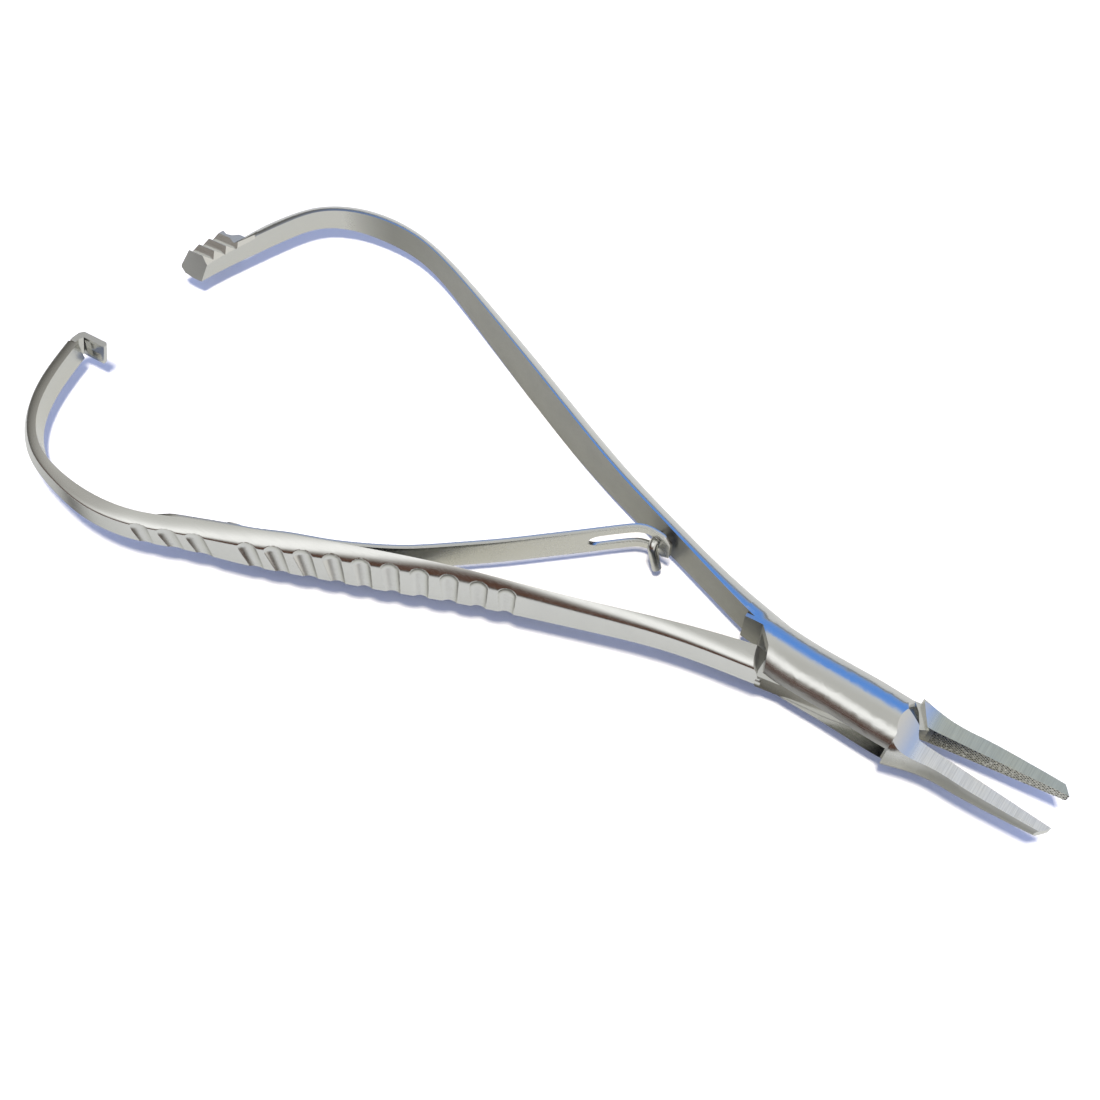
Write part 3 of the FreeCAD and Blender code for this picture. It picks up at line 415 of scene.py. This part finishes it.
def barSurface(s, b):
    # point (i, j) = path(i) + out(i) * a(i, j) + up * c(i, j), with (a, c) the section
    fine = smoothSpline(b["line"], s["samples"])
    reach = np.concatenate([[0], np.cumsum(np.linalg.norm(np.diff(fine, axis=0), axis=1))])
    knots = np.array(b["line"], float)
    at = reach[np.argmin(np.linalg.norm(fine[None] - knots[:, None], axis=2), axis=1)]
    face = np.interp(knots[:, 0], *np.array(s["faceAt"]).T)
    half = smoothSpline(np.stack([at, face / 2], 1), s["samples"])
    deep = np.interp(knots[:, 0], *np.array(b["depthAt"]).T)
    depth = smoothSpline(np.stack([at, deep], 1), s["samples"])
    first = at[b["tail"]]
    last = np.interp(b["front"], fine[:, 0], reach)
    if b["flutes"]:
        rear = np.interp(b["fluteFrom"], fine[:, 0], reach)
        front = np.interp(b["fluteTo"], fine[:, 0], reach)
        along = np.concatenate([
            np.arange(first, rear, s["step"]), np.arange(rear, front, s["fluteStep"]),
            np.linspace(front, last, s["frontRows"])])
    else:
        along = np.linspace(first, last, int((last - first) / s["step"]))
    path = np.stack([np.interp(along, reach, fine[:, k]) for k in (0, 1)], 1)
    slope = np.gradient(fine, reach, axis=0)
    run = np.stack([np.interp(along, reach, slope[:, k]) for k in (0, 1)], 1)
    run /= np.linalg.norm(run, axis=1)[:, None]
    out = np.stack([-run[:, 1], run[:, 0]], 1) * b["side"]
    h = np.interp(along, half[:, 0], half[:, 1])
    d = np.interp(along, depth[:, 0], depth[:, 1])
    # section: a dome from the inner edge (0, h) to the facet's upper edge, as the cubic
    # (1-u)^3 p0 + 3 u (1-u)^2 p1 + 3 u^2 (1-u) p2 + u^3 p3, then the straight facet to the ridge (d, 0)
    tall = np.interp(path[:, 0], *np.array(b["facetAt"]).T) * h
    slip = math.tan(math.radians(b["facetLean"]))
    d = d * b["ridge"]
    corner = np.stack([np.maximum(d - slip * tall, s["leastTop"] * d), tall], 1)
    apex = np.stack([corner[:, 0] - slip * (h - tall), h], 1)
    p0 = np.stack([0 * h, h], 1)
    p1 = p0 + (apex - p0) * s["domeArms"][0] - np.stack([0 * h, b["crown"] * (h - tall)], 1)
    p2 = corner + (apex - corner) * s["domeArms"][1]
    u = np.linspace(0, 1, s["around"])[:, None, None]
    dome = (1 - u) ** 3 * p0 + 3 * u * (1 - u) ** 2 * p1 + 3 * u ** 2 * (1 - u) * p2 + u ** 3 * corner
    ridge = np.stack([d, 0 * h], 1)
    v = np.linspace(0, 1, s["facetRows"])[1:, None, None]
    facet = corner * (1 - v) + ridge * v
    upper = np.concatenate([dome, facet])
    flat = np.linspace(-1, 1, s["faceRows"])[1:-1, None] * h[None, :]
    lower = upper[-2::-1] * [1, -1]
    ring = np.concatenate([upper, lower, np.stack([0 * flat, flat], -1)]).transpose(1, 0, 2)
    x = path[:, None, 0] + out[:, None, 0] * ring[..., 0]
    y = path[:, None, 1] + out[:, None, 1] * ring[..., 0]
    z = midHeight + ring[..., 1]
    points = np.stack([x, y, z], -1)
    if b["flutes"]:
        points = cutFlutes(points, path, out, corner, d, tall, b)
    points[..., 2] = np.maximum(points[..., 2], 0.0)  # never under the table
    return points * mm, path, run


def makeHalf(s, b, material):
    points, path, run = barSurface(s, b)
    rows, columns = points.shape[:2]
    ring = np.concatenate([points, points[:, :1]], 1)
    faces = gridFaces(rows, columns + 1)
    if b["side"] > 0:
        faces = faces[:, ::-1]
    piece = makePiece(b["node"] + "Finish", ring, faces, material)
    work = bmesh.new()
    work.from_mesh(piece.data)
    bmesh.ops.remove_doubles(work, verts=work.verts, dist=s["join"] * mm)
    closeHoles(work)
    for way in b["shoulder"]:
        # the bar ends in two slanting shoulders that leave the tongue between the box plates
        place = (b["front"] * mm, 0, (midHeight + way * b["tongueHalf"]) * mm)
        cutAway(work, place, (b["shoulderNormal"][0], 0, b["shoulderNormal"][1] * way))
        closeHoles(work)
    bmesh.ops.recalc_face_normals(work, faces=work.faces)
    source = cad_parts[b["node"]].data
    for end in (0, -1):
        part = bmesh.new()
        part.from_mesh(source)
        bmesh.ops.remove_doubles(part, verts=part.verts, dist=s["merge"] * mm)
        direction = np.array([run[end, 0], run[end, 1], 0.0]) * (1 if end == 0 else -1)
        cut = 0 if end == 0 else int(np.argmin(np.abs(path[:, 0] - b["rest"])))
        centre = np.array([path[cut, 0], path[cut, 1], midHeight]) * mm
        cutAway(part, centre.tolist(), direction.tolist())
        if end == 0:
            # the leaning plane of the tail spares the box and jaw, so a second plane takes them off
            cutAway(part, (s["tailPast"] * mm, 0, 0), (1, 0, 0))
        closeHoles(part)
        rest = bpy.data.meshes.new("part")
        part.to_mesh(rest)
        part.free()
        work.from_mesh(rest)
        bpy.data.meshes.remove(rest)
    work.normal_update()
    smoothFaces(work, s["crease"])
    work.to_mesh(piece.data)
    work.free()
    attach(piece, b["body"])
    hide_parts(b["node"])


makeHalf(bars, ratchetBar, ratchetSteel)
makeHalf(bars, pawlBar, pawlSteel)
print("halves ready")

# Pins and hook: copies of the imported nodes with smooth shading, so that no flats show in the ground
# steel; the rivet is cut flush with the fluted side, a little outwards of its seat.
pins = dict(
    merge=0.0005, crease=24.0,                         # mm, degrees
    rivet=(-76.6, -26.57, 0), rivetStand=0.6,          # mm
)


def smoothCopy(node, s, material, body, trim=None):
    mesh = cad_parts[node].data.copy()
    mesh.name = node + "Finish"
    work = bmesh.new()
    work.from_mesh(mesh)
    bmesh.ops.remove_doubles(work, verts=work.verts, dist=s["merge"] * mm)
    if trim:
        cutAway(work, trim, flutedSide)
        closeHoles(work)
    smoothFaces(work, s["crease"])
    work.to_mesh(mesh)
    work.free()
    mesh.materials.clear()
    mesh.materials.append(material)
    piece = bpy.data.objects.new(node + "Finish", mesh)
    bpy.context.scene.collection.objects.link(piece)
    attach(piece, body)
    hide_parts(node)


rivetEnd = [(seat + out * pins["rivetStand"]) * mm for seat, out in zip(pins["rivet"], flutedSide)]
smoothCopy("pivot_pin", pins, pinSteel, "ratchet_side")
smoothCopy("spring_rivet", pins, pinSteel, "pawl_side", rivetEnd)
smoothCopy("spring_hook", pins, wireSteel, "ratchet_side")
print("pins ready")

# Grip faces: cross-cut teeth, two families of grooves at 45 degrees to the jaw.
grip = dict(
    fromX=13.3, toX=31.0, pitch=0.56, high=0.108, sunk=0.012,      # mm
    half=(1.93, 0.84),             # half height at both ends
    stepX=0.07, stepZ=0.07, wall=0.06,
    lower=(-0.655, -0.0262, 1), upper=(1.60, 0.1263, -1),   # y of the face at x 13.3, slope, direction
)


def makeGrip(name, s, face, body):
    # height(x, z) = high * min(saw((x + z) / pitch), saw((x - z) / pitch)), saw a triangle wave from 0 to 1
    x = np.arange(s["fromX"], s["toX"], s["stepX"])
    share = np.arange(-1, 1.0001, s["stepZ"] / s["half"][0])  # a step that lands on 1 counts
    half = np.interp(x, [s["fromX"], s["toX"]], s["half"])
    gx = np.repeat(x[:, None], len(share), 1)
    gz = half[:, None] * share[None, :]
    one = np.abs(((gx + gz) / s["pitch"]) % 1 * 2 - 1)
    two = np.abs(((gx - gz) / s["pitch"]) % 1 * 2 - 1)
    high = s["high"] * np.minimum(one, two)
    high[[0, -1], :] = 0
    high[:, [0, -1]] = 0
    start, slope, way = face
    gy = start + slope * (gx - s["fromX"]) + way * (high - s["sunk"])
    points = np.stack([gx, gy, midHeight + gz], -1) * mm
    faces = gridFaces(*gx.shape)
    piece = makePiece(name, points, faces[:, ::-1] if way < 0 else faces, gripSteel)
    wall = piece.modifiers.new("wall", "SOLIDIFY")
    wall.thickness = s["wall"] * mm
    wall.offset = -1.0
    settle(piece)
    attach(piece, body)


# the lower grip ends sooner, where the round of its jaw's tip begins
makeGrip("lowerGrip", dict(grip, toX=30.2), grip["lower"], "ratchet_side")
makeGrip("upperGrip", grip, grip["upper"], "pawl_side")
print("grips ready")

# Leaf spring: stamped strip, riveted along the pawl half, its slotted end bent under the wire hook.
leaf = dict(
    thickness=0.6, samples=900, rows=70, slotRows=24, roundRows=9, tipRows=8, across=5, join=0.002,
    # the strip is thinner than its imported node, so it moves onto the handle's face; fades out along X
    seat=0.15, seatFade=(-56, -42),
    slotHalf=1.3, slotFrom=-37.5, slotTo=-29.05,
    slotEnd=0.45,                        # length of the slot's flatter front round, in slotHalf
    halfAt=[(-87.3, 1.2), (-84.8, 2.394), (-76.0, 2.85), (-33.2, 2.85), (-28.6, 2.6), (-27.9, 2.08),
            (-27.5, 1.716)],
    bevel=0.12, bevelAngle=50, crease=35,
    line=[(-87.3, -29.05), (-84.0, -27.65), (-80.6, -26.25), (-77.1, -24.85), (-74.6, -23.9),
          (-70.2, -21.75), (-65.5, -19.75), (-60.6, -17.3), (-55.8, -14.4), (-50.8, -10.6),
          (-46.2, -6.9), (-41.0, -2.4), (-36.5, 1.6), (-33.4, 4.35),
          (-32.6, 4.98), (-31.6, 5.5), (-30.4, 5.72), (-28.9, 5.7), (-27.5, 5.55)],
)


def makeLeaf(s):
    # strip: point (i, j) = path(i) raised by slot(i) + j (half(i) - slot(i)), above and below the middle;
    # slot(i) is the half width of a slot with round ends, and zero outside it
    path = smoothSpline(s["line"], s["samples"])
    x = path[:, 0]
    from0, to0, r = s["slotFrom"], s["slotTo"], s["slotHalf"]
    frontRun = s["slotEnd"] * r
    bend = np.linspace(0, np.pi / 2, s["roundRows"])
    ends = np.concatenate([from0 + r * (1 - np.cos(bend)), to0 - frontRun * (1 - np.cos(bend))])
    stations = np.unique(np.concatenate([
        np.linspace(x[0], from0, s["rows"]), ends, np.linspace(from0 + r, to0 - frontRun, s["slotRows"]),
        np.linspace(to0, x[-1], s["tipRows"])]).round(5))
    y = np.interp(stations, x, path[:, 1]) - s["seat"] * np.interp(stations, s["seatFade"], [1, 0])
    slot = np.zeros(len(stations))
    inside = (stations > from0) & (stations < to0)
    back = np.clip((stations - from0) / r, 0, 1)
    front = np.clip((to0 - stations) / frontRun, 0, 1)
    slot[inside] = r * np.sqrt(1 - (1 - np.minimum(back, front)[inside]) ** 2)
    half = np.interp(stations, *np.array(s["halfAt"]).T)
    columns = s["across"]
    j = np.linspace(0, 1, columns)
    rise = slot[:, None] + j[None, :] * (half - slot)[:, None]
    grids = []
    faces = []
    for sign in (1, -1):
        z = midHeight + sign * rise
        wide = [np.repeat(line[:, None], columns, 1) for line in (stations, y)]
        quads = gridFaces(len(stations), columns, len(grids) * len(stations) * columns)
        faces.append(quads if sign > 0 else quads[:, ::-1])
        grids.append((np.stack([*wide, z], -1) * mm).reshape(-1, 3))
    piece = makePiece(
        "leafStrip", np.concatenate(grids), np.concatenate(faces), springSteel, s["join"] * mm)
    wall = piece.modifiers.new("wall", "SOLIDIFY")
    wall.thickness = s["thickness"] * mm
    wall.offset = 0.0
    wall.use_even_offset = True
    edge = piece.modifiers.new("edge", "BEVEL")
    edge.width = s["bevel"] * mm
    edge.segments = 2
    edge.limit_method = "ANGLE"
    edge.angle_limit = math.radians(s["bevelAngle"])
    settle(piece)
    for polygon in piece.data.polygons:
        polygon.use_smooth = True
    piece.data.set_sharp_from_angle(angle=math.radians(s["crease"]))
    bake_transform(piece)
    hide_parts("leaf_spring")


makeLeaf(leaf)
print("leaf spring ready")

# Floor and light: white table, broad warm-white key overhead, cool fill, and for reflections a
# light room with a dark gap low on the camera's side and a blue band on the far side.
studio = dict(
    floorTone="#F4F4F4", floorRoughness=0.9, floorSpecular=0.1, floorSide=3.0,      # m
    grain=0.6, grainBump=0.02, grainStrength=0.1,        # mm, mm, share
    # painted reflection of the table: tones by distance in mm from the line of the fluted handle, outwards,
    # darkest close beside it as painted shade
    mirrorTones=[(-10, "#C0C2BC"), (-1, "#B0B2AB"), (2.5, "#4E4C46"), (5, "#8C8D86"), (9, "#BCBEB6"),
                 (25, "#CACCC6")],
    mirrorRun=(-10, 30),
    # the key stands on an arc over its centre, in m and degrees: past 90 it leans towards the camera
    keyPower=18.0, keyTone="#FFF6E4", keyDistance=1.2, keySize=0.26, keyElevation=93.0,
    keyCentre=(-0.045, -0.02, 0.0),
    fillTone="#AEBCEC", fillLevel=0.95,
    roomLevel=1.5,
    # reflections by height above the table in degrees: camera's side, far side, far side to the left
    nearTones=[(-3, "#C2C1BD"), (3, "#8E8B86"), (7, "#15100D"), (14, "#5A3C2C"), (30, "#4E3A30"),
               (38, "#8E8B86"), (48, "#FFFFFF"), (62, "#FFFFFF"), (74, "#B8B8B5")],
    farTones=[(-2, "#A9A9A7"), (3, "#63676A"), (9, "#8F959A"), (15, "#6F97D6"), (30, "#5D8FDD"),
              (48, "#5F93E2"), (55, "#B4C0D2"), (59, "#C8C8C5"), (80, "#B8B8B5")],
    leftTones=[(-2, "#A9A9A7"), (3, "#55534F"), (20, "#5E5C58"), (36, "#8B8984"), (50, "#A5A39F"),
               (60, "#C8C8C5"), (80, "#B8B8B5")],
    sideTone="#DCDAD6",
    # where one side passes into the other, as the share of a direction that points that way
    nearSeam=(-0.15, 0.15), leftSeam=(-0.3, 0.1), sideSeam=(0.02, 0.3), sideShare=0.9,
)


def makeFloor(s):
    # matt white board, whose faint grain keeps its shadows from looking drawn
    material = bpy.data.materials.new("mattTableBoard")
    material.use_nodes = True
    tree = material.node_tree
    shader = tree.nodes["Principled BSDF"]
    shader.inputs["Base Color"].default_value = srgb(s["floorTone"])
    shader.inputs["Roughness"].default_value = s["floorRoughness"]
    shader.inputs["Specular IOR Level"].default_value = s["floorSpecular"]
    coords = addNode(tree, "ShaderNodeTexCoord")
    grain = addNode(
        tree, "ShaderNodeTexNoise", {"Vector": coords.outputs["Object"]},
        Scale=1 / (s["grain"] * mm), Detail=2.0)
    bump = addNode(
        tree, "ShaderNodeBump", {"Height": grain.outputs["Fac"]},
        Strength=s["grainStrength"], Distance=s["grainBump"] * mm)
    tree.links.new(bump.outputs["Normal"], shader.inputs["Normal"])
    # painted reflection: what the steel mirrors of the table, with painted shade beside the fluted handle,
    # which shades it
    beside = addNode(
        tree, "ShaderNodeVectorMath", {0: coords.outputs["Object"]}, operation="DOT_PRODUCT")
    beside.inputs[1].default_value = flutedSide
    low, high = s["mirrorRun"]
    reach = mapRange(tree, beside.outputs["Value"], (low * mm, high * mm))
    mirrored = addNode(tree, "ShaderNodeValToRGB", {"Fac": reach})
    fillRamp(mirrored, s["mirrorTones"], low, high)
    path = addNode(tree, "ShaderNodeLightPath")
    tone = addNode(tree, "ShaderNodeMix", {"Factor": path.outputs["Is Glossy Ray"]}, data_type="RGBA")
    tone.inputs["A"].default_value = srgb(s["floorTone"])
    tree.links.new(mirrored.outputs["Color"], tone.inputs["B"])
    tree.links.new(tone.outputs["Result"], shader.inputs["Base Color"])
    side = np.linspace(-s["floorSide"] / 2, s["floorSide"] / 2, 3)
    x, y = np.meshgrid(side, side)
    points = np.stack([x, y, np.zeros_like(x)], -1)
    floor = makePiece("floor", points, gridFaces(3, 3), material)


def makeLight(s):
    heading = math.radians(view["heading"])
    away = np.array([math.sin(heading), math.cos(heading), 0.0])  # horizontal, away from the camera
    elevation = math.radians(s["keyElevation"])
    centre = np.array(s["keyCentre"])
    arm = away * math.cos(elevation) + np.array([0, 0, math.sin(elevation)])
    place = centre + s["keyDistance"] * arm
    data = bpy.data.lights.new("key", "AREA")
    data.shape = "DISK"
    data.size = s["keySize"]
    data.energy = s["keyPower"]
    data.color = srgb(s["keyTone"])[:3]
    key = bpy.data.objects.new("key", data)
    key.location = place
    back = (place - centre) / np.linalg.norm(place - centre)
    key.rotation_euler = Vector(back).to_track_quat("Z", "Y").to_euler()
    key.visible_glossy = False
    bpy.context.scene.collection.objects.link(key)


def makeRoom(s):
    world = bpy.data.worlds.new("room")
    world.use_nodes = True
    bpy.context.scene.world = world
    tree = world.node_tree
    tree.nodes.clear()
    heading = math.radians(view["heading"])
    coords = addNode(tree, "ShaderNodeTexCoord")
    axes = addNode(tree, "ShaderNodeSeparateXYZ", {0: coords.outputs["Generated"]})
    height = addNode(tree, "ShaderNodeMath", {0: axes.outputs["Z"]}, operation="ARCSINE")
    degrees = addNode(tree, "ShaderNodeMath", {0: height.outputs[0]}, operation="MULTIPLY")
    degrees.inputs[1].default_value = 180 / math.pi
    lowest, highest = -90.0, 90.0

    def along(direction):
        node = addNode(
            tree, "ShaderNodeVectorMath", {0: coords.outputs["Generated"]}, operation="DOT_PRODUCT")
        node.inputs[1].default_value = direction
        return node.outputs["Value"]

    def ramp(stops):
        node = addNode(
            tree, "ShaderNodeValToRGB", {"Fac": mapRange(tree, degrees.outputs[0], (lowest, highest))})
        fillRamp(node, stops, lowest, highest)
        return node.outputs["Color"]

    toward = along((-math.sin(heading), -math.cos(heading), 0))
    across = along((math.cos(heading), -math.sin(heading), 0))
    right = mapRange(tree, across, s["leftSeam"])
    behind = addNode(tree, "ShaderNodeMix", {"Factor": right}, data_type="RGBA")
    tree.links.new(ramp(s["leftTones"]), behind.inputs["A"])
    tree.links.new(ramp(s["farTones"]), behind.inputs["B"])
    # the dark gap fades out towards the jaws, where the room is light down to the table
    light = mapRange(tree, across, s["sideSeam"], (0.0, s["sideShare"]))
    before = addNode(tree, "ShaderNodeMix", {"Factor": light}, data_type="RGBA")
    tree.links.new(ramp(s["nearTones"]), before.inputs["A"])
    before.inputs["B"].default_value = srgb(s["sideTone"])
    near = mapRange(tree, toward, s["nearSeam"])
    mirror = addNode(tree, "ShaderNodeMix", {"Factor": near}, data_type="RGBA")
    tree.links.new(behind.outputs["Result"], mirror.inputs["A"])
    tree.links.new(before.outputs["Result"], mirror.inputs["B"])
    path = addNode(tree, "ShaderNodeLightPath")
    glossy = addNode(
        tree, "ShaderNodeBackground", {"Color": mirror.outputs["Result"]}, Strength=s["roomLevel"])
    diffuse = addNode(tree, "ShaderNodeBackground", Color=srgb(s["fillTone"]), Strength=s["fillLevel"])
    mix = addNode(tree, "ShaderNodeMixShader", {0: path.outputs["Is Glossy Ray"]})
    tree.links.new(diffuse.outputs[0], mix.inputs[1])
    tree.links.new(glossy.outputs[0], mix.inputs[2])
    addNode(tree, "ShaderNodeOutputWorld", {"Surface": mix.outputs[0]})


makeFloor(studio)
makeLight(studio)
makeRoom(studio)
bpy.context.scene.view_settings.view_transform = "Standard"
print("studio ready")
